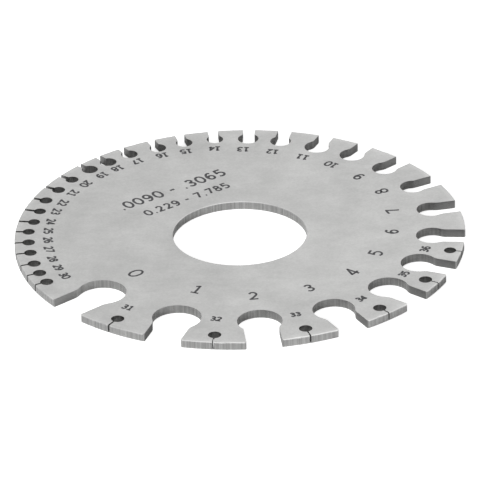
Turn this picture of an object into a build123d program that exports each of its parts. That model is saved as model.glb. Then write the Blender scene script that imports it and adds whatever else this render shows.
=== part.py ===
from build123d import *
import os
from math import atan2, cos, pi, sin, sqrt

# Round wire and sheet gauge: one flat stainless disc, numbered notches 0 to 36 around its rim.
# Millimetres, +Z up.  The origin is the centre of the underside of the disc.

# Disc
OUTER_DIAMETER = 85.7
BORE_DIAMETER = 25.5
THICKNESS = 1.65

# Edges: the upper edge of the rim is tumbled round, its lower edge and the bore only deburred
RIM_ROUND = 0.25
RIM_BREAK = 0.15
BORE_BREAK = 0.10

# Corner between a mouth's wall and the rim, seen from above.  Mouths under the least width
# are sawn slits and keep a sharp corner.
MOUTH_CORNER = 0.30
CORNER_LEAST_WIDTH = 1.5
# A relief hole is always a little wider than the mouth that leads into it
RELIEF_OVER_MOUTH = 1.05
RUN_OUT = 4.0

# One row for each notch: gauge number, mouth width (steel wire gauge), bearing of the notch
# from +X (degrees, seen from above), relief hole diameter, hole centre in from the rim, and
# radius of the blend between the mouth's straight wall and the hole (0 leaves a sharp corner).
NOTCHES = (
    (0, 7.785, 220.1, 9.3, 8.7, 3.4),
    (1, 7.188, 249.6, 9.3, 8.1, 2.6),
    (2, 6.668, 275.4, 8.5, 7.9, 0.3),
    (3, 6.190, 298.9, 8.0, 7.4, 2.3),
    (4, 5.723, 320.1, 7.6, 7.0, 2.4),
    (5, 5.258, 337.9, 6.9, 6.6, 1.9),
    (6, 4.877, 355.5, 6.1, 6.3, 2.2),
    (7, 4.496, 11.9, 5.4, 5.5, 3.4),
    (8, 4.115, 27.2, 4.8, 5.3, 1.1),
    (9, 3.767, 41.6, 4.8, 5.1, 1.6),
    (10, 3.429, 54.5, 4.8, 4.8, 1.6),
    (11, 3.061, 66.1, 4.8, 4.9, 2.0),
    (12, 2.680, 77.4, 4.0, 4.4, 0.3),
    (13, 2.324, 86.9, 4.0, 3.9, 0.3),
    (14, 2.032, 96.4, 3.2, 3.6, 0.9),
    (15, 1.829, 105.3, 3.2, 3.6, 0.9),
    (16, 1.588, 113.3, 3.2, 3.7, 0.3),
    (17, 1.372, 122.0, 3.2, 3.2, 0.0),
    (18, 1.207, 129.4, 3.2, 3.3, 0.0),
    (19, 1.041, 136.0, 3.1, 3.0, 0.0),
    (20, 0.884, 143.6, 2.5, 3.0, 0.0),
    (21, 0.805, 150.6, 2.5, 3.1, 0.0),
    (22, 0.726, 157.5, 2.5, 2.8, 0.0),
    (23, 0.655, 164.0, 2.3, 3.2, 0.0),
    (24, 0.584, 170.4, 2.3, 3.1, 0.0),
    (25, 0.518, 176.1, 2.3, 2.6, 0.0),
    (26, 0.460, 182.2, 2.4, 2.7, 0.0),
    (27, 0.439, 188.2, 2.4, 2.7, 0.0),
    (28, 0.411, 194.5, 2.5, 2.6, 0.0),
    (29, 0.381, 200.1, 2.5, 2.5, 0.0),
    (30, 0.356, 205.5, 2.5, 2.4, 0.0),
    (31, 0.335, 234.6, 2.5, 2.9, 0.0),
    (32, 0.325, 262.6, 2.5, 2.8, 0.0),
    (33, 0.300, 287.1, 2.5, 2.9, 0.0),
    (34, 0.264, 309.7, 2.5, 2.6, 0.0),
    (35, 0.241, 329.5, 2.5, 2.7, 0.0),
    (36, 0.229, 347.1, 2.3, 2.2, 0.0),
)

outer_radius = OUTER_DIAMETER / 2
bore_radius = BORE_DIAMETER / 2
rim_round = min(RIM_ROUND, THICKNESS / 3)
rim_break = min(RIM_BREAK, THICKNESS / 3)
bore_break = min(BORE_BREAK, THICKNESS / 3)


def polar(centre, radius, angle):
    """Point at an angle (radians) on a circle."""
    return (centre[0] + radius * cos(angle), centre[1] + radius * sin(angle))


def arc(centre, radius, start, end, middle_angle):
    """Arc about a known centre that passes the point at the middle angle."""
    return ThreePointArc(start, polar(centre, radius, middle_angle), end)


def notch_side(half, relief, blend, corner, centre_y):
    """Right-hand wall of a notch, from outside the rim to where it meets the relief hole."""
    # The blend touches the mouth's wall and the outside of the hole's circle
    rise = sqrt((relief + blend) ** 2 - (half + blend) ** 2)
    lean = atan2(rise, half + blend)
    wall_y = centre_y + rise
    hole_end = polar((0, centre_y), relief, lean)

    # The corner touches the mouth's wall and the inside of the rim's circle
    corner_x = half + corner
    corner_y = sqrt((outer_radius - corner) ** 2 - corner_x ** 2)
    swing = atan2(corner_y, corner_x)
    rim_end = polar((0, 0), outer_radius, swing)
    far_end = polar((0, 0), outer_radius + RUN_OUT, swing)

    if corner:
        edges = [
            Line(far_end, rim_end),
            arc((corner_x, corner_y), corner, rim_end, (half, corner_y), (swing + pi) / 2),
            Line((half, corner_y), (half, wall_y)),
        ]
    else:
        edges = [Line((half, far_end[1]), (half, wall_y))]
    if blend:
        edges.append(arc((half + blend, wall_y), blend, (half, wall_y), hole_end,
                         pi + lean / 2))
    return edges, hole_end


def notch_face(mouth_width, relief_diameter, setback, blend):
    """Notch outline, open along +Y: straight mouth, relief hole and the arcs between them."""
    half = mouth_width / 2
    relief = max(relief_diameter / 2, half * RELIEF_OVER_MOUTH)
    corner = MOUTH_CORNER if mouth_width >= CORNER_LEAST_WIDTH else 0.0
    centre_y = outer_radius - setback

    right, hole_end = notch_side(half, relief, blend, corner, centre_y)
    left = [edge.mirror(Plane.YZ) for edge in right]
    start = right[0] @ 0
    mouth_line = Line((-start.X, start.Y), (start.X, start.Y))
    hole_arc = arc((0, centre_y), relief, hole_end, (-hole_end[0], hole_end[1]), -pi / 2)
    return make_face(Wire([mouth_line, *right, hole_arc, *left]))


def turned_disc():
    """Disc turned from its section: rim rounded above and broken below, bore edges broken."""
    width = outer_radius - bore_radius
    section = Plane.XZ * Pos(bore_radius + width / 2, THICKNESS / 2) * Rectangle(width, THICKNESS)
    bore_corners = section.vertices().group_by(Axis.X)[0]
    section = chamfer(bore_corners, bore_break)
    lower_corner = section.vertices().group_by(Axis.X)[-1].sort_by(Axis.Z)[0]
    section = chamfer(lower_corner, rim_break)
    upper_corner = section.vertices().group_by(Axis.Z)[-1].sort_by(Axis.X)[-1]
    section = fillet(upper_corner, rim_round)
    return revolve(section, Axis.Z)


def make_plate():
    """Disc with every notch cut in from the rim."""
    cuts = [
        extrude(Rot(0, 0, bearing - 90) * notch_face(mouth, relief, setback, blend),
                amount=THICKNESS)
        for number, mouth, bearing, relief, setback, blend in NOTCHES
    ]
    return turned_disc() - cuts


gauge_plate = make_plate()
os.makedirs("parts", exist_ok=True)
export_step(gauge_plate, "parts/gauge_plate.step")
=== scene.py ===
"""Round wire gauge: finish of the steel plate, its dark numbers and a plain pale studio.

Metres, +Z up. The plate lies on the floor at Z = 0 with its numbered face up, and the middle
of its bore is on the Z axis.
"""

import math

import bmesh
import bpy
from mathutils import Matrix, Vector


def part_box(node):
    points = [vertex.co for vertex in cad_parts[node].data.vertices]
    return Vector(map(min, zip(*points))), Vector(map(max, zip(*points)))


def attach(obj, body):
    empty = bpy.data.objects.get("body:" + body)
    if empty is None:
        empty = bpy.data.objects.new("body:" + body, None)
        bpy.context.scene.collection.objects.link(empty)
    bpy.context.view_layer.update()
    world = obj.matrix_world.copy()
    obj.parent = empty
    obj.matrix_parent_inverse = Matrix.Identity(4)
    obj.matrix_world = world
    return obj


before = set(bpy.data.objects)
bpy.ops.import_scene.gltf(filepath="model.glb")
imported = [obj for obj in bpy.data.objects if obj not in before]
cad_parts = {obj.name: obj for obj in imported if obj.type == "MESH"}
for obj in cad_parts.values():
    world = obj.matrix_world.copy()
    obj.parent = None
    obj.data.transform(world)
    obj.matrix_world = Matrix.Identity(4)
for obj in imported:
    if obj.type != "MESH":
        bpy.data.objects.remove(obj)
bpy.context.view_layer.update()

bl_info = {
    "name": "Round Wire Gauge",
    "version": (1, 0, 0),
    "blender": (4, 5, 0),
    "location": "View3D > Sidebar > Wire Gauge",
    "description": "Finishes a round stainless wire gauge and sets it on a plain studio floor",
    "category": "Object",
}

PLATE = "gauge_plate"
BODY = "root"
MM = 0.001

plate_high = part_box(PLATE)[1]
FACE_HEIGHT = plate_high.z
RIM_RADIUS = plate_high.x

# One row for each number on the face: the number, its middle in millimetres, the direction of
# its baseline in degrees from +X, and its height in millimetres, measured along the middle of
# its strokes.
NOTCH_NUMBERS = (
    (0, -19.76, -14.93, 306.7, 2.85),
    (1, -8.30, -21.92, 335.5, 2.68),
    (2, 2.21, -25.00, 8.5, 2.58),
    (3, 12.72, -22.51, 26.9, 2.31),
    (4, 20.97, -16.58, 52.6, 2.74),
    (5, 25.58, -9.38, 67.2, 2.48),
    (6, 28.86, -0.95, 82.6, 2.27),
    (7, 29.36, 7.43, 114.0, 2.34),
    (8, 27.40, 15.56, 117.7, 2.37),
    (9, 23.18, 21.79, 135.2, 2.17),
    (10, 17.98, 27.13, 142.1, 1.71),
    (11, 12.52, 30.59, 155.7, 1.62),
    (12, 6.76, 33.19, 167.4, 1.52),
    (13, 1.09, 34.47, 173.4, 1.56),
    (14, -4.48, 35.10, 176.4, 1.53),
    (15, -9.99, 34.22, 190.9, 1.54),
    (16, -14.63, 32.83, 199.1, 1.59),
    (17, -19.39, 30.64, 212.7, 1.48),
    (18, -23.28, 27.88, 214.4, 1.59),
    (19, -26.24, 25.23, 222.6, 1.54),
    (20, -29.36, 21.76, 232.7, 1.61),
    (21, -31.81, 18.11, 238.3, 1.55),
    (22, -33.69, 14.16, 248.2, 1.56),
    (23, -34.97, 10.65, 254.4, 1.53),
    (24, -36.00, 6.54, 262.1, 1.52),
    (25, -36.41, 2.91, 266.1, 1.48),
    (26, -36.43, -0.81, 276.1, 1.48),
    (27, -36.19, -4.54, 282.2, 1.48),
    (28, -35.48, -8.42, 287.6, 1.43),
    (29, -34.40, -11.87, 289.0, 1.38),
    (30, -33.16, -15.19, 296.9, 1.50),
    (31, -21.28, -28.25, 327.2, 1.43),
    (32, -4.84, -33.55, 347.6, 1.37),
    (33, 9.95, -32.68, 12.3, 1.30),
    (34, 22.38, -27.22, 39.8, 1.39),
    (35, 30.62, -17.98, 56.1, 1.42),
    (36, 34.93, -8.32, 69.5, 1.48),
)
# From this number on, the pen is the smaller one
FIRST_SMALL_NUMBER = 10

# Two rows of plain numbers beside the bore: the range of notch widths in inches and in
# millimetres. Each has its text, its middle, its direction and its height as above, the width
# of its stroke in millimetres, and its spacing as a share of the usual one.
RANGE_ROWS = (
    (".0090 - .3065", -12.87, 18.45, 34.5, 2.46, 0.50, 1.16),
    ("0.229 - 7.785", -10.0, 14.36, 34.9, 1.92, 0.43, 1.19),
)

# Strokes of each sign on a field one high, with its middle at 0, 0. A stroke is (closed,
# points), and a point is (x, y, bend), where a straight corner has no bend.
CORNER, BEND = "VECTOR", "AUTO"
SIX = (False, ((0.24, 0.43, BEND), (0.03, 0.5, BEND), (-0.25, 0.15, BEND), (-0.27, -0.2, BEND),
               (0, -0.5, BEND), (0.27, -0.2, BEND), (0.02, 0.09, BEND), (-0.25, -0.14, BEND)))
SIGNS = {
    "0": ((True, ((0, 0.5, BEND), (0.27, 0.27, BEND), (0.31, 0, BEND), (0.27, -0.27, BEND),
                  (0, -0.5, BEND), (-0.27, -0.27, BEND), (-0.31, 0, BEND),
                  (-0.27, 0.27, BEND))),),
    "1": ((False, ((-0.22, 0.36, CORNER), (0.04, 0.5, CORNER), (0.04, -0.5, CORNER))),
          (False, ((-0.26, -0.5, CORNER), (0.32, -0.5, CORNER)))),
    "2": ((False, ((-0.27, 0.33, BEND), (-0.02, 0.5, BEND), (0.25, 0.27, BEND),
                   (0.1, -0.08, BEND), (-0.28, -0.5, CORNER), (0.3, -0.5, CORNER))),),
    "3": ((False, ((-0.25, 0.4, BEND), (0, 0.5, BEND), (0.24, 0.27, BEND),
                   (-0.02, 0.04, CORNER), (0.27, -0.21, BEND), (0, -0.5, BEND),
                   (-0.28, -0.38, BEND))),),
    "4": ((False, ((0.1, -0.5, CORNER), (0.1, 0.5, CORNER), (-0.33, -0.22, CORNER),
                   (0.33, -0.22, CORNER))),),
    "5": ((False, ((0.26, 0.5, CORNER), (-0.22, 0.5, CORNER), (-0.25, 0.05, CORNER),
                   (0, 0.12, BEND), (0.28, -0.18, BEND), (0, -0.5, BEND),
                   (-0.27, -0.42, BEND))),),
    "6": (SIX,),
    "7": ((False, ((-0.3, 0.5, CORNER), (0.3, 0.5, CORNER), (-0.08, -0.5, CORNER))),),
    "8": ((True, ((0, 0.5, BEND), (0.22, 0.27, BEND), (0, 0.04, BEND), (-0.22, 0.27, BEND))),
          (True, ((0, 0.04, BEND), (0.28, -0.22, BEND), (0, -0.5, BEND),
                  (-0.28, -0.22, BEND)))),
    "9": ((False, tuple((-x, -y, bend) for x, y, bend in SIX[1])),),
    ".": ((False, ((-0.07, -0.5, CORNER), (0.07, -0.5, CORNER))),),
    "-": ((False, ((-0.2, -0.05, CORNER), (0.2, -0.05, CORNER))),),
    " ": (),
}
# Steps along a ball and its width there, as shares of its radius and of its full width
BALL = ((-1, 0), (-0.9, 0.44), (-0.6, 0.8), (0, 1), (0.6, 0.8), (0.9, 0.44), (1, 0))
# Room that a sign takes along the line, as a share of its height
ADVANCE = {".": 0.4, " ": 0.42, "-": 0.64}
DIGIT_ADVANCE = 0.8
# The pen is coarse and takes few steps between two points, because the marks are tiny
PEN_ROUNDNESS, PEN_STEPS = 1, 5
# Points of a mark nearer than this are one
MERGE_DISTANCE = 1e-8

# Noise seldom leaves these two values, so what it changes is spread between them
NOISE_SPAN = {"From Min": 0.3, "From Max": 0.7}

# Share of the steel's normal that is upright, from where it is all wall to where it is all
# face, and then at the middle of a rounded edge, which gets a painted highlight, with the
# reach to either side
FACE_SPAN = {"From Min": 0.15, "From Max": 0.75}
EDGE_UPRIGHT, EDGE_REACH = 0.55, 0.4
# Share of the normal that points in or out: walls that run straight in from the rim have
# little of it, and walls that go across have more
ACROSS_SPAN = {"From Min": 0.2, "From Max": 0.45}
# Painted shade in small holes: how open a wall is within this reach, from shut off to free
HOLE_SHADE_REACH = 7.3 * MM
HOLE_SHADE_SPAN = {"From Min": 0.86, "From Max": 0.95}
# Grinding and painted shade of a mouth fade out over this much either side of its depth
GROUND_AND_SHADE_FADE = 1 * MM

# How bright the steel is, as a share of its colour
STREAK_LEVELS = {"To Min": 0.76, "To Max": 1.24}
CLOUD_LEVELS = {"To Min": 0.91, "To Max": 1.09}
WISP_LEVELS = {"To Min": 0.96, "To Max": 1.04}
GRAIN_LEVELS = {"To Min": 0.92, "To Max": 1.08}
# Painted shade on the walls in small holes and in the ground mouths
SMALL_HOLE_SHADE_LEVEL = 0.7
GROUND_AND_SHADE_LEVEL = 0.64
# Painted highlight on the rounded edges and on a band inside the rim
EDGE_HIGHLIGHT_LEVEL = 1.15
BAND_HIGHLIGHT_LEVEL = 1.07

WISP_TURN = math.radians(55)
WISP_SQUEEZE = 0.4
WALL_ROUGHNESS, FACE_ROUGHNESS = 0.31, 0.41
GRAIN_ROUGHNESS = {"To Min": -0.05, "To Max": 0.05}
GRAIN_DEPTH, GRAIN_STRENGTH = 0.02 * MM, 0.25

SPECK_SIZE = 0.4 * MM
SPECK_LEVELS = {"To Min": 0.8, "To Max": 1.25}
MARK_ROUGHNESS = 0.6

CARD_COLOUR = "#e6e6e6"
# How far the card lies under the plate, and how near to it a ray has to start to pass it by
CARD_DROP, CARD_TOUCH = 0.02 * MM, 0.1 * MM
# How open the card is to the room, from where it has no glow to where it has all of it
GLOW_SPAN = {"From Min": 0.1, "From Max": 0.5}
SENSOR_WIDTH = 36


# Colours and nodes


def linear(hex_colour):
    """Linear RGBA from an sRGB hex colour."""
    channels = [int(hex_colour[i:i + 2], 16) / 255 for i in (1, 3, 5)]
    curve = [c / 12.92 if c <= 0.04045 else ((c + 0.055) / 1.055) ** 2.4 for c in channels]
    return (*curve, 1.0)


def add_node(tree, kind, links=None, **settings):
    """Adds a node, sets its properties and plain input values, and links the named inputs."""
    node = tree.nodes.new(kind)
    inputs = settings.pop("inputs", {})
    for name, value in settings.items():
        setattr(node, name, value)
    for name, value in inputs.items():
        node.inputs[name].default_value = value
    for name, socket in (links or {}).items():
        tree.links.new(socket, node.inputs[name])
    return node


def new_material(name):
    """A material with an empty node tree, and that tree."""
    material = bpy.data.materials.new(name)
    material.use_nodes = True
    material.node_tree.nodes.clear()
    return material, material.node_tree


# Materials


def tumbled_stainless(settings):
    """Rolled 304 stainless sheet, punched and then tumbled to a soft satin.

    The faces are an even pale grey with faint clouds and a fine grain. The punched walls are
    the same steel with streaks that run through the thickness of the sheet. In the small holes
    they are darker with painted shade. The mouths of the notches are ground to their widths,
    so their walls are smooth, and painted shade makes them darker. The rounded edges and a
    narrow band inside the rim are brighter with a painted highlight.
    """
    material, tree = new_material("tumbled_304_stainless")
    place = add_node(tree, "ShaderNodeTexCoord")
    apart = add_node(tree, "ShaderNodeSeparateXYZ", {"Vector": place.outputs["Object"]})
    in_plan = add_node(tree, "ShaderNodeCombineXYZ",
                       {"X": apart.outputs["X"], "Y": apart.outputs["Y"]})
    radius = add_node(tree, "ShaderNodeVectorMath", {0: in_plan.outputs[0]},
                      operation="LENGTH")
    facing = add_node(tree, "ShaderNodeSeparateXYZ", {"Vector": place.outputs["Normal"]})
    upright = add_node(tree, "ShaderNodeMath", {0: facing.outputs["Z"]}, operation="ABSOLUTE")
    is_face = add_node(tree, "ShaderNodeMapRange", {"Value": upright.outputs[0]},
                       interpolation_type="SMOOTHSTEP", inputs=FACE_SPAN)

    # The marks of tumbling are too fine to show, so the grain is drawn coarser
    grain = add_node(tree, "ShaderNodeTexNoise", {"Vector": place.outputs["Object"]},
                     inputs={"Scale": 1 / settings.grain_size, "Detail": 3.0,
                             "Roughness": 0.7})

    wall = add_node(tree, "ShaderNodeVectorMath",
                    {"Scale": wall_level(tree, place, in_plan, radius, settings)},
                    operation="SCALE", inputs={0: settings.wall_colour[:3]})
    face = add_node(tree, "ShaderNodeVectorMath",
                    {"Scale": face_level(tree, place, in_plan, grain, settings)},
                    operation="SCALE", inputs={0: settings.face_colour[:3]})
    colour = add_node(tree, "ShaderNodeMix",
                      {"Factor": is_face.outputs[0], "A": wall.outputs[0],
                       "B": face.outputs[0]}, data_type="RGBA")
    # Painted highlight on the rounded edges and on a band inside the rim
    highlighted_colour = add_node(tree, "ShaderNodeVectorMath",
                         {0: colour.outputs["Result"],
                          "Scale": polish_level(tree, upright, is_face, radius, settings)},
                         operation="SCALE")

    smoothness = add_node(tree, "ShaderNodeMapRange", {"Value": is_face.outputs[0]},
                          inputs={"To Min": WALL_ROUGHNESS, "To Max": FACE_ROUGHNESS})
    grain_roughness = add_node(tree, "ShaderNodeMapRange", {"Value": grain.outputs["Fac"]},
                               inputs={**NOISE_SPAN, **GRAIN_ROUGHNESS})
    roughness = add_node(tree, "ShaderNodeMath",
                         {0: grain_roughness.outputs[0], 1: smoothness.outputs[0]},
                         operation="ADD")
    bump = add_node(tree, "ShaderNodeBump", {"Height": grain.outputs["Fac"]},
                    inputs={"Strength": GRAIN_STRENGTH, "Distance": GRAIN_DEPTH})
    shader = add_node(tree, "ShaderNodeBsdfPrincipled",
                      {"Base Color": highlighted_colour.outputs[0], "Roughness": roughness.outputs[0],
                       "Normal": bump.outputs["Normal"]}, inputs={"Metallic": 1.0})
    add_node(tree, "ShaderNodeOutputMaterial", {"Surface": shader.outputs["BSDF"]})
    return material


def wall_level(tree, place, in_plan, radius, settings):
    """Brightness of the walls: streaked where they are punched, even where they are ground,
    and darker with painted shade in the small holes and the ground mouths.
    """
    # Streaks keep their place in plan and run straight down. Real ones are too fine to show,
    # so they are drawn coarser. One cell of the noise holds a light and a dark streak.
    streaks = add_node(tree, "ShaderNodeTexNoise", {"Vector": in_plan.outputs[0]},
                       inputs={"Scale": 1 / (settings.streak_width * 2), "Detail": 2.0,
                               "Roughness": 0.6})
    streak_level = add_node(tree, "ShaderNodeMapRange", {"Value": streaks.outputs["Fac"]},
                            inputs={**NOISE_SPAN, **STREAK_LEVELS})

    # Painted shade: walls in the small holes, closed in by the steel around them, are darker
    wall_occlusion = add_node(tree, "ShaderNodeAmbientOcclusion", samples=8, only_local=True,
                        inputs={"Distance": HOLE_SHADE_REACH})
    hole_shade_level = add_node(tree, "ShaderNodeMapRange", {"Value": wall_occlusion.outputs["AO"]},
                           inputs={**HOLE_SHADE_SPAN, "To Min": SMALL_HOLE_SHADE_LEVEL, "To Max": 1.0})
    streak_and_shade_level = add_node(tree, "ShaderNodeMath",
                             {0: streak_level.outputs[0], 1: hole_shade_level.outputs[0]},
                             operation="MULTIPLY")

    # Ground walls run straight in from the rim, as deep as the mouths. They are smooth, and
    # painted shade makes them darker
    outward = add_node(tree, "ShaderNodeVectorMath", {0: in_plan.outputs[0]},
                       operation="NORMALIZE")
    turned_out = add_node(tree, "ShaderNodeVectorMath",
                          {0: outward.outputs[0], 1: place.outputs["Normal"]},
                          operation="DOT_PRODUCT")
    turned_in_or_out = add_node(tree, "ShaderNodeMath", {0: turned_out.outputs["Value"]},
                                operation="ABSOLUTE")
    runs_in = add_node(tree, "ShaderNodeMapRange", {"Value": turned_in_or_out.outputs[0]},
                       interpolation_type="SMOOTHSTEP",
                       inputs={**ACROSS_SPAN, "To Min": 1.0, "To Max": 0.0})
    mouth_end = RIM_RADIUS - settings.mouth_depth
    near_rim = add_node(tree, "ShaderNodeMapRange", {"Value": radius.outputs["Value"]},
                        interpolation_type="SMOOTHSTEP",
                        inputs={"From Min": mouth_end - GROUND_AND_SHADE_FADE,
                                "From Max": mouth_end + GROUND_AND_SHADE_FADE})
    is_ground_and_shaded = add_node(tree, "ShaderNodeMath",
                         {0: runs_in.outputs[0], 1: near_rim.outputs[0]},
                         operation="MULTIPLY")
    level = add_node(tree, "ShaderNodeMix",
                     {"Factor": is_ground_and_shaded.outputs[0], "A": streak_and_shade_level.outputs[0]},
                     inputs={"B": GROUND_AND_SHADE_LEVEL})
    return level.outputs["Result"]


def face_level(tree, place, in_plan, grain, settings):
    """Brightness of the faces: clouds a few millimetres across, slanting wisps and grain."""
    clouds = add_node(tree, "ShaderNodeTexNoise", {"Vector": place.outputs["Object"]},
                      inputs={"Scale": 1 / settings.cloud_size, "Detail": 4.0,
                              "Roughness": 0.6})
    cloud_level = add_node(tree, "ShaderNodeMapRange", {"Value": clouds.outputs["Fac"]},
                           inputs={**NOISE_SPAN, **CLOUD_LEVELS})
    slant = add_node(tree, "ShaderNodeMapping", {"Vector": in_plan.outputs[0]},
                     inputs={"Rotation": (0, 0, WISP_TURN), "Scale": (WISP_SQUEEZE, 1, 1)})
    wisps = add_node(tree, "ShaderNodeTexNoise", {"Vector": slant.outputs[0]},
                     inputs={"Scale": 1 / settings.wisp_width, "Detail": 4.0,
                             "Roughness": 0.7})
    wisp_level = add_node(tree, "ShaderNodeMapRange", {"Value": wisps.outputs["Fac"]},
                          inputs={**NOISE_SPAN, **WISP_LEVELS})
    grain_level = add_node(tree, "ShaderNodeMapRange", {"Value": grain.outputs["Fac"]},
                           inputs={**NOISE_SPAN, **GRAIN_LEVELS})
    cloudy_level = add_node(tree, "ShaderNodeMath",
                            {0: cloud_level.outputs[0], 1: wisp_level.outputs[0]},
                            operation="MULTIPLY")
    level = add_node(tree, "ShaderNodeMath",
                     {0: cloudy_level.outputs[0], 1: grain_level.outputs[0]},
                     operation="MULTIPLY")
    return level.outputs[0]


def polish_level(tree, upright, is_face, radius, settings):
    """Painted highlight on the rounded edges and on a band inside the rim."""
    on_edge = add_node(tree, "ShaderNodeMath", {0: upright.outputs[0]}, operation="COMPARE",
                       inputs={1: EDGE_UPRIGHT, 2: EDGE_REACH})
    edge_highlight = add_node(tree, "ShaderNodeMapRange", {"Value": on_edge.outputs[0]},
                          inputs={"To Min": 1.0, "To Max": EDGE_HIGHLIGHT_LEVEL})
    band_highlight = add_node(tree, "ShaderNodeMapRange", {"Value": radius.outputs["Value"]},
                          interpolation_type="SMOOTHSTEP",
                          inputs={"From Min": RIM_RADIUS - settings.burnish_width,
                                  "From Max": RIM_RADIUS - settings.burnish_width / 3,
                                  "To Min": 1.0, "To Max": BAND_HIGHLIGHT_LEVEL})
    face_band_highlight = add_node(tree, "ShaderNodeMix",
                         {"Factor": is_face.outputs[0], "B": band_highlight.outputs[0]},
                         inputs={"A": 1.0})
    highlight_scale = add_node(tree, "ShaderNodeMath",
                      {0: edge_highlight.outputs[0], 1: face_band_highlight.outputs["Result"]},
                      operation="MULTIPLY")
    return highlight_scale.outputs[0]


def dark_marking(settings):
    """Dark oxide mark burnt into the steel: matt, charcoal grey, a little uneven."""
    material, tree = new_material("dark_oxide_marking")
    place = add_node(tree, "ShaderNodeTexCoord")
    specks = add_node(tree, "ShaderNodeTexNoise", {"Vector": place.outputs["Object"]},
                      inputs={"Scale": 1 / SPECK_SIZE, "Detail": 3.0, "Roughness": 0.6})
    level = add_node(tree, "ShaderNodeMapRange", {"Value": specks.outputs["Fac"]},
                     inputs={**NOISE_SPAN, **SPECK_LEVELS})
    colour = add_node(tree, "ShaderNodeVectorMath", {"Scale": level.outputs[0]},
                      operation="SCALE", inputs={0: settings.mark_colour[:3]})
    shader = add_node(tree, "ShaderNodeBsdfPrincipled", {"Base Color": colour.outputs[0]},
                      inputs={"Roughness": MARK_ROUGHNESS})
    add_node(tree, "ShaderNodeOutputMaterial", {"Surface": shader.outputs["BSDF"]})
    return material


def white_card(stage):
    """Matt white card. It shows white to the eye and keeps the plate's shadow.

    Its glow has a strength for the eye and one for gloss. The glow fades where the plate closes
    the card in, so slits and small holes stay dark. The card has one side only: from below, and
    where it touches the plate, it isn't there, so the underside of the plate can be seen.
    """
    material, tree = new_material("white_card")
    paths = add_node(tree, "ShaderNodeLightPath")
    side = add_node(tree, "ShaderNodeNewGeometry")
    touching = add_node(tree, "ShaderNodeMath", {0: paths.outputs["Ray Length"]},
                        operation="LESS_THAN", inputs={1: CARD_TOUCH})
    absent = add_node(tree, "ShaderNodeMath",
                      {0: touching.outputs[0], 1: side.outputs["Backfacing"]},
                      operation="MAXIMUM")
    open_sky = add_node(tree, "ShaderNodeAmbientOcclusion", samples=16,
                        inputs={"Distance": stage.shade_reach})
    shade = add_node(tree, "ShaderNodeMapRange", {"Value": open_sky.outputs["AO"]},
                     inputs=GLOW_SPAN)
    eye_glow = add_node(tree, "ShaderNodeMath", {0: paths.outputs["Is Camera Ray"]},
                        operation="MULTIPLY", inputs={1: stage.eye_glow - stage.gloss_glow})
    glow = add_node(tree, "ShaderNodeMath",
                    {0: seen_by_eye_or_gloss(tree, paths), 2: eye_glow.outputs[0]},
                    operation="MULTIPLY_ADD", inputs={1: stage.gloss_glow})
    strength = add_node(tree, "ShaderNodeMath", {0: glow.outputs[0], 1: shade.outputs[0]},
                        operation="MULTIPLY")
    light = add_node(tree, "ShaderNodeEmission", {"Strength": strength.outputs[0]})
    card = add_node(tree, "ShaderNodeBsdfDiffuse", inputs={"Color": linear(CARD_COLOUR)})
    lit_card = add_node(tree, "ShaderNodeAddShader", {0: card.outputs[0], 1: light.outputs[0]})
    nothing = add_node(tree, "ShaderNodeBsdfTransparent")
    surface = add_node(tree, "ShaderNodeMixShader",
                       {0: absent.outputs[0], 1: lit_card.outputs[0], 2: nothing.outputs[0]})
    add_node(tree, "ShaderNodeOutputMaterial", {"Surface": surface.outputs[0]})
    return material


def seen_by_eye_or_gloss(tree, paths):
    """1 for rays from the camera and for those that gloss or glass sends on."""
    gloss = add_node(tree, "ShaderNodeMath",
                     {0: paths.outputs["Is Camera Ray"], 1: paths.outputs["Is Glossy Ray"]},
                     operation="MAXIMUM")
    seen = add_node(tree, "ShaderNodeMath",
                    {0: gloss.outputs[0], 1: paths.outputs["Is Transmission Ray"]},
                    operation="MAXIMUM")
    return seen.outputs[0]


# Pieces


def number_mesh(text, height, stroke, rise, spacing=1.0):
    """A row of signs drawn with one round pen and pressed flat, its middle at the origin."""
    advances = [ADVANCE.get(sign, DIGIT_ADVANCE) * height * spacing for sign in text]
    curve = bpy.data.curves.new("number", "CURVE")
    curve.dimensions = "3D"
    curve.bevel_depth = stroke / 2
    curve.bevel_resolution = PEN_ROUNDNESS
    curve.resolution_u = PEN_STEPS
    curve.use_fill_caps = True
    pen = -sum(advances) / 2
    for sign, advance in zip(text, advances):
        for closed, points in SIGNS[sign]:
            draw_stroke(curve, closed, points, height, pen + advance / 2)
        pen += advance
    holder = bpy.data.objects.new("number", curve)
    mesh = bpy.data.meshes.new_from_object(holder)
    bpy.data.objects.remove(holder)
    bpy.data.curves.remove(curve)
    mesh.transform(Matrix.Diagonal((1, 1, rise / (stroke / 2), 1)))
    return mesh


def draw_stroke(curve, closed, points, height, middle):
    """Draws one stroke. It stops at each sharp corner, turns on a ball as wide as the pen, and
    goes on, because a pen that is led round a sharp corner gets thin there. A closed stroke
    has only bends.
    """
    knots = [(middle + x * height, y * height, 1, bend) for x, y, bend in points]
    inner = range(1, len(knots) - 1)
    corners = [i for i in inner if knots[i][3] == CORNER]
    stops = [0, *corners, len(knots) - 1]
    for first, last in zip(stops, stops[1:]):
        draw_run(curve, closed, knots[first:last + 1])
    for i in corners:
        x, y = knots[i][:2]
        draw_run(curve, False, [(x + step * curve.bevel_depth, y, width, CORNER)
                                for step, width in BALL])


def draw_run(curve, closed, knots):
    """Leads the pen through knots: (x, y, share of the pen's width, bend)."""
    spline = curve.splines.new("BEZIER")
    spline.bezier_points.add(len(knots) - 1)
    spline.use_cyclic_u = closed
    for knot, (x, y, width, bend) in zip(spline.bezier_points, knots):
        knot.co = (x, y, 0)
        knot.radius = width
        knot.handle_left_type = bend
        knot.handle_right_type = bend


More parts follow.
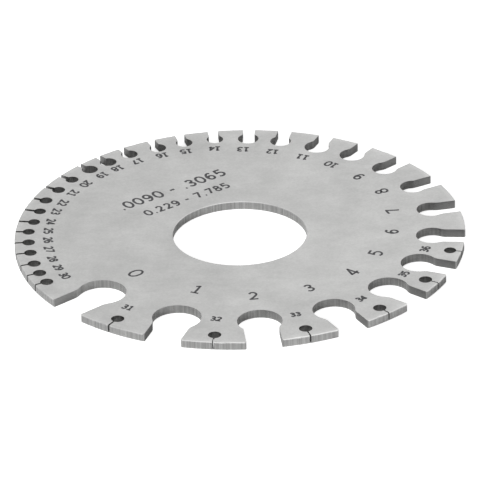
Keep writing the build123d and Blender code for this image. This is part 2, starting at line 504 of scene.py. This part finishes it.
def marks_piece(name, rows, marks):
    """Joins rows of signs into one piece: (text, x, y, direction, height, stroke, spacing)."""
    shape = bmesh.new()
    for text, x, y, direction, height, stroke, spacing in rows:
        mesh = number_mesh(text, height * MM, stroke, marks.mark_rise, spacing)
        mesh.transform(Matrix.Translation((x * MM, y * MM, FACE_HEIGHT))
                       @ Matrix.Rotation(math.radians(direction), 4, "Z"))
        shape.from_mesh(mesh)
        bpy.data.meshes.remove(mesh)
    bmesh.ops.remove_doubles(shape, verts=shape.verts, dist=MERGE_DISTANCE)
    bmesh.ops.recalc_face_normals(shape, faces=shape.faces)
    mesh = bpy.data.meshes.new(name)
    shape.to_mesh(mesh)
    shape.free()
    mesh.materials.append(dark_marking(marks))
    piece = bpy.data.objects.new(name, mesh)
    bpy.context.scene.collection.objects.link(piece)
    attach(piece, BODY)
    return piece


# Settings


class GaugePlateSettings(bpy.types.PropertyGroup):
    """Colours and finish of the steel plate"""

    face_colour: bpy.props.FloatVectorProperty(
        name="Face", description="Steel of the two faces", subtype="COLOR", size=4,
        min=0, max=1, default=linear("#b9b9b8"))
    wall_colour: bpy.props.FloatVectorProperty(
        name="Punched walls", description="Steel of the rim, the bore and the notches",
        subtype="COLOR", size=4, min=0, max=1, default=linear("#c6c6c5"))
    cloud_size: bpy.props.FloatProperty(
        name="Clouds", description="Width of the faint clouds on the faces",
        default=8 * MM, min=1 * MM, unit="LENGTH")
    wisp_width: bpy.props.FloatProperty(
        name="Wisps", description="Width of the slanting wisps on the faces",
        default=2.5 * MM, min=0.5 * MM, unit="LENGTH")
    grain_size: bpy.props.FloatProperty(
        name="Grain", description="Width of the grain that tumbling leaves, drawn coarse",
        default=0.45 * MM, min=0.05 * MM, unit="LENGTH")
    # The mouths ground this deep are also darker with painted shade
    mouth_depth: bpy.props.FloatProperty(
        name="Ground mouths", description="How far in from the rim the mouths are ground",
        default=5.5 * MM, min=0, unit="LENGTH")
    # Painted highlight: the brighter band inside the rim
    burnish_width: bpy.props.FloatProperty(
        name="Burnished band", description="Width of the brighter band inside the rim",
        default=1.5 * MM, min=0.1 * MM, unit="LENGTH")
    streak_width: bpy.props.FloatProperty(
        name="Streaks", description="Width of the punched walls' streaks, drawn coarse",
        default=0.2 * MM, min=0.05 * MM, unit="LENGTH")


class GaugeMarkSettings(bpy.types.PropertyGroup):
    """Strokes and colour of the dark numbers"""

    large_stroke: bpy.props.FloatProperty(
        name="Large stroke", description="Width of the strokes of the numbers 0 to 9",
        default=0.46 * MM, min=0.05 * MM, unit="LENGTH")
    small_stroke: bpy.props.FloatProperty(
        name="Small stroke", description="Width of the strokes of the numbers 10 to 36",
        default=0.42 * MM, min=0.05 * MM, unit="LENGTH")
    mark_rise: bpy.props.FloatProperty(
        name="Rise", description="How far a mark stands above the steel",
        default=0.01 * MM, min=0.002 * MM, unit="LENGTH")
    mark_colour: bpy.props.FloatVectorProperty(
        name="Mark", description="Dark oxide of the numbers", subtype="COLOR", size=4,
        min=0, max=1, default=linear("#38383a"))


class GaugeStageSettings(bpy.types.PropertyGroup):
    """Floor, lamps and camera"""

    floor_size: bpy.props.FloatProperty(
        name="Floor", description="Width of the paper floor", default=6.0, min=0.5,
        unit="LENGTH")
    eye_glow: bpy.props.FloatProperty(
        name="White to the eye", description="Extra white of the floor as the camera sees it",
        default=0.82, min=0)
    gloss_glow: bpy.props.FloatProperty(
        name="White in gloss", description="Extra white of the floor as shiny metal sees it",
        default=0.0, min=0)
    shade_reach: bpy.props.FloatProperty(
        name="Shade reach", description="How far the plate shades the floor's extra white",
        default=4 * MM, min=0.1 * MM, unit="LENGTH")
    front_power: bpy.props.FloatProperty(
        name="Front softbox", description="Power of the broad lamp over the front edge",
        default=1.6, min=0, unit="POWER")
    back_power: bpy.props.FloatProperty(
        name="Back softbox", description="Power of the lamp behind on the right", default=0.06,
        min=0, unit="POWER")
    side_power: bpy.props.FloatProperty(
        name="Side lamp", description="Power of the lamp on the left that casts the shadow",
        default=11.0, min=0, unit="POWER")
    room_light: bpy.props.FloatProperty(
        name="Room light", description="Strength of the light from all round", default=0.22,
        min=0)
    camera_distance: bpy.props.FloatProperty(
        name="Camera distance", description="From the middle of the face to the camera",
        default=1412.5 * MM, min=0.1, unit="LENGTH")
    camera_elevation: bpy.props.FloatProperty(
        name="Camera elevation", description="Height of the camera over the face, as an angle",
        default=math.radians(28.116), subtype="ANGLE", unit="ROTATION")
    camera_tilt: bpy.props.FloatProperty(
        name="Camera tilt", description="Small lift of the camera's aim above the middle",
        default=0.000929, subtype="ANGLE", unit="ROTATION")
    camera_roll: bpy.props.FloatProperty(
        name="Camera roll", description="Turn of the camera about its line of sight",
        default=-0.025866, subtype="ANGLE", unit="ROTATION")
    lens: bpy.props.FloatProperty(
        name="Lens", description="Focal length on a 36 mm sensor", default=557.52, min=10)


# Operators


class GAUGE_OT_finish_plate(bpy.types.Operator):
    """Give the steel plate its tumbled satin finish"""

    bl_idname = "gauge.finish_plate"
    bl_label = "Finish plate"

    def execute(self, context):
        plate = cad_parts[PLATE]
        steel = tumbled_stainless(context.scene.gauge_plate_settings)
        for material_slot in plate.material_slots:
            material_slot.material = steel
        return {"FINISHED"}


class GAUGE_OT_notch_numbers(bpy.types.Operator):
    """Mark the number of each notch on the face"""

    bl_idname = "gauge.notch_numbers"
    bl_label = "Notch numbers"

    def execute(self, context):
        marks = context.scene.gauge_mark_settings
        rows = []
        for number, x, y, direction, height in NOTCH_NUMBERS:
            small = number >= FIRST_SMALL_NUMBER
            stroke = marks.small_stroke if small else marks.large_stroke
            rows.append((str(number), x, y, direction, height, stroke, 1.0))
        marks_piece("notch_numbers", rows, marks)
        return {"FINISHED"}


class GAUGE_OT_range_marks(bpy.types.Operator):
    """Mark the range of notch widths, in inches and in millimetres, beside the bore"""

    bl_idname = "gauge.range_marks"
    bl_label = "Range marks"

    def execute(self, context):
        marks = context.scene.gauge_mark_settings
        rows = [(text, x, y, direction, height, stroke * MM, spacing)
                for text, x, y, direction, height, stroke, spacing in RANGE_ROWS]
        marks_piece("range_marks", rows, marks)
        return {"FINISHED"}


class GAUGE_OT_studio_stage(bpy.types.Operator):
    """Set up the white floor, the soft lamps and the camera"""

    bl_idname = "gauge.studio_stage"
    bl_label = "Studio stage"

    def execute(self, context):
        stage = context.scene.gauge_stage_settings
        self.add_floor(stage)
        self.add_light(stage)
        self.add_camera(stage)
        context.scene.view_settings.view_transform = "Standard"
        return {"FINISHED"}

    def add_floor(self, stage):
        shape = bmesh.new()
        bmesh.ops.create_grid(shape, x_segments=1, y_segments=1, size=stage.floor_size / 2)
        bmesh.ops.translate(shape, verts=shape.verts, vec=(0, 0, -CARD_DROP))
        mesh = bpy.data.meshes.new("paper_floor")
        shape.to_mesh(mesh)
        shape.free()
        mesh.materials.append(white_card(stage))
        floor = bpy.data.objects.new("paper_floor", mesh)
        bpy.context.scene.collection.objects.link(floor)

    def add_light(self, stage):
        world = bpy.data.worlds.new("white_room")
        world.use_nodes = True
        tree = world.node_tree
        tree.nodes.clear()
        paths = add_node(tree, "ShaderNodeLightPath")
        strength = add_node(tree, "ShaderNodeMix",
                            {"Factor": seen_by_eye_or_gloss(tree, paths)},
                            inputs={"A": stage.room_light, "B": 1.0})
        room = add_node(tree, "ShaderNodeBackground", {"Strength": strength.outputs["Result"]},
                        inputs={"Color": (1, 1, 1, 1)})
        add_node(tree, "ShaderNodeOutputWorld", {"Surface": room.outputs[0]})
        bpy.context.scene.world = world

        # The front lamp is seen only in gloss and the side lamp only in diffuse light, because
        # one lamp that did both would burn a white line into the rim
        front = self.add_softbox("front_softbox", size=(1.0, 1.0), place=(0.2, -0.35, 0.55),
                                 power=stage.front_power)
        front.visible_diffuse = False
        self.add_softbox("back_softbox", size=(0.3, 0.25), place=(0.14, 0.28, 0.25),
                         power=stage.back_power)
        side = self.add_softbox("side_lamp", size=(0.6, 0.4), place=(-0.62, -0.42, 0.23),
                                power=stage.side_power)
        side.visible_glossy = False

    def add_softbox(self, name, size, place, power):
        """Hangs a soft rectangular lamp that points at the plate."""
        lamp = bpy.data.lights.new(name, "AREA")
        lamp.shape = "RECTANGLE"
        lamp.size, lamp.size_y = size
        lamp.energy = power
        softbox = bpy.data.objects.new(name, lamp)
        softbox.visible_camera = False
        aim = Vector(place).to_track_quat("Z", "Y")
        softbox.matrix_world = Matrix.Translation(place) @ aim.to_matrix().to_4x4()
        bpy.context.scene.collection.objects.link(softbox)
        return softbox

    def add_camera(self, stage):
        """Looks at the middle of the face, then tilts and rolls by small angles."""
        aim = Vector((0, 0, FACE_HEIGHT))
        back = Vector((0, -math.cos(stage.camera_elevation), math.sin(stage.camera_elevation)))
        right = Vector((1, 0, 0))
        turn = Matrix((right, back.cross(right), back)).transposed().to_4x4()
        turn = turn @ Matrix.Rotation(-stage.camera_tilt, 4, "X")
        turn = turn @ Matrix.Rotation(stage.camera_roll, 4, "Z")
        camera = bpy.data.objects.new("photo_camera", bpy.data.cameras.new("photo_camera"))
        camera.matrix_world = Matrix.Translation(aim + back * stage.camera_distance) @ turn
        camera.data.sensor_width = SENSOR_WIDTH
        camera.data.lens = stage.lens
        bpy.context.scene.collection.objects.link(camera)
        bpy.context.scene.camera = camera


class GAUGE_PT_panel(bpy.types.Panel):
    """Sizes, colours and steps of the wire gauge"""

    bl_idname = "GAUGE_PT_panel"
    bl_label = "Wire Gauge"
    bl_space_type = "VIEW_3D"
    bl_region_type = "UI"
    bl_category = "Wire Gauge"

    def draw(self, context):
        scene = context.scene
        steps = ((scene.gauge_plate_settings, ("gauge.finish_plate",)),
                 (scene.gauge_mark_settings, ("gauge.notch_numbers", "gauge.range_marks")),
                 (scene.gauge_stage_settings, ("gauge.studio_stage",)))
        for settings, operators in steps:
            box = self.layout.box()
            for name in settings.__annotations__:
                box.prop(settings, name)
            for operator in operators:
                box.operator(operator)


CLASSES = (
    GaugePlateSettings,
    GaugeMarkSettings,
    GaugeStageSettings,
    GAUGE_OT_finish_plate,
    GAUGE_OT_notch_numbers,
    GAUGE_OT_range_marks,
    GAUGE_OT_studio_stage,
    GAUGE_PT_panel,
)


def register():
    for cls in CLASSES:
        bpy.utils.register_class(cls)
    bpy.types.Scene.gauge_plate_settings = bpy.props.PointerProperty(type=GaugePlateSettings)
    bpy.types.Scene.gauge_mark_settings = bpy.props.PointerProperty(type=GaugeMarkSettings)
    bpy.types.Scene.gauge_stage_settings = bpy.props.PointerProperty(type=GaugeStageSettings)


def unregister():
    del bpy.types.Scene.gauge_stage_settings
    del bpy.types.Scene.gauge_mark_settings
    del bpy.types.Scene.gauge_plate_settings
    for cls in reversed(CLASSES):
        bpy.utils.unregister_class(cls)


def main():
    register()
    bpy.ops.gauge.studio_stage()
    bpy.ops.gauge.finish_plate()
    bpy.ops.gauge.notch_numbers()
    bpy.ops.gauge.range_marks()


if __name__ == "__main__":
    main()
